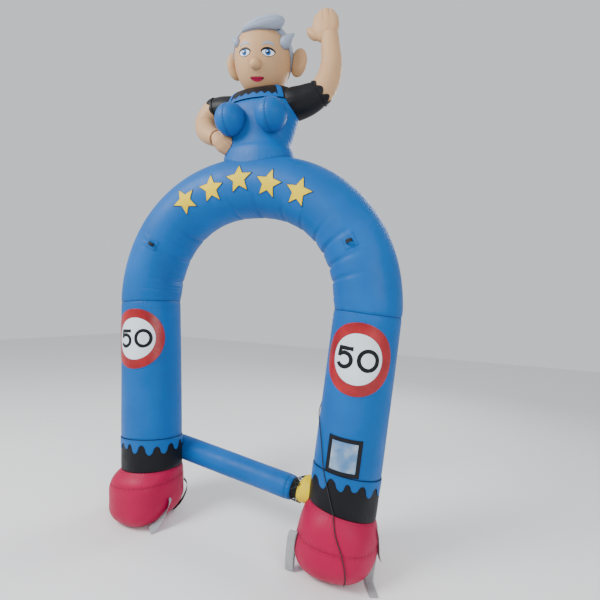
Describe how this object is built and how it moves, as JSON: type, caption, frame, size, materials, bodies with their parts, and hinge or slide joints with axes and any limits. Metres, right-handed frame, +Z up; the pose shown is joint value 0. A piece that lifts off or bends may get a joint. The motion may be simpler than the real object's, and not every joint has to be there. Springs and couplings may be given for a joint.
{
  "type": "inflatable arch",
  "caption": "Free-standing inflatable arch: straight legs on rounded boots, a round bow, a low spreader tube, and an inflated half figure on its crown that raises a hand.",
  "frame": {"origin": "on the ground midway between the legs, under the crown", "axes": "+Z up, +X to the viewer's right along the span, the front faces -Y"},
  "size_m": [2.3044, 0.621, 4.0064],
  "materials": {
    "nylon_blue": "coated nylon cloth, blue, slight sheen",
    "nylon_black": "coated nylon cloth, black",
    "nylon_pink": "coated nylon cloth, deep pink, slight sheen",
    "nylon_skin": "coated nylon cloth, pale brown",
    "nylon_grey": "coated nylon cloth, blue grey",
    "nylon_yellow": "coated nylon cloth, yellow",
    "print_red": "printed satin cloth, red",
    "print_white": "printed satin cloth, white",
    "webbing_grey": "woven webbing, grey",
    "webbing_black": "woven webbing, black",
    "clear_film": "clear soft film, glossy",
    "cord_black": "thin braided cord, black"
  },
  "bodies": {
    "root": {"bow": "nylon_blue", "leg_left": "nylon_blue", "leg_right": "nylon_blue", "drip_trim_left": "nylon_blue", "drip_trim_right": "nylon_blue", "spreader": "nylon_blue", "tether_patch_left": "nylon_blue", "tether_patch_right": "nylon_blue", "dress": "nylon_blue", "dress_bib": "nylon_blue", "dress_strap_left": "nylon_blue", "dress_strap_right": "nylon_blue", "bust_left": "nylon_blue", "bust_right": "nylon_blue", "band_left": "nylon_black", "band_right": "nylon_black", "spreader_cuff": "nylon_black", "window_frame": "nylon_black", "tie_line_patch": "nylon_black", "shirt": "nylon_black", "sleeve_left": "nylon_black", "sleeve_right": "nylon_black", "sleeve_hem_left": "nylon_black", "sleeve_hem_right": "nylon_black", "foot_left": "nylon_pink", "foot_right": "nylon_pink", "arm_left": "nylon_skin", "arm_right": "nylon_skin", "hand_left": "nylon_skin", "hand_right": "nylon_skin", "head": "nylon_skin", "nose": "nylon_skin", "ear_left": "nylon_skin", "ear_right": "nylon_skin", "hair_cap": "nylon_grey", "hair_quiff": "nylon_grey", "hair_tuft_left": "nylon_grey", "hair_tuft_right": "nylon_grey", "spreader_patch": "nylon_yellow", "star_1": "nylon_yellow", "star_2": "nylon_yellow", "star_3": "nylon_yellow", "star_4": "nylon_yellow", "star_5": "nylon_yellow", "sign_ring_left": "print_red", "sign_ring_right": "print_red", "sign_disc_left": "print_white", "sign_disc_right": "print_white", "strap_left_grey": "webbing_grey", "strap_right_loop": "webbing_grey", "strap_right_tab": "webbing_grey", "strap_right_lower": "webbing_grey", "strap_left_black": "webbing_black", "tether_tab_left": "webbing_black", "tether_tab_right": "webbing_black", "window_film": "clear_film", "tie_line": "cord_black", "spreader_lacing": "cord_black"}
  },
  "joints": []
}
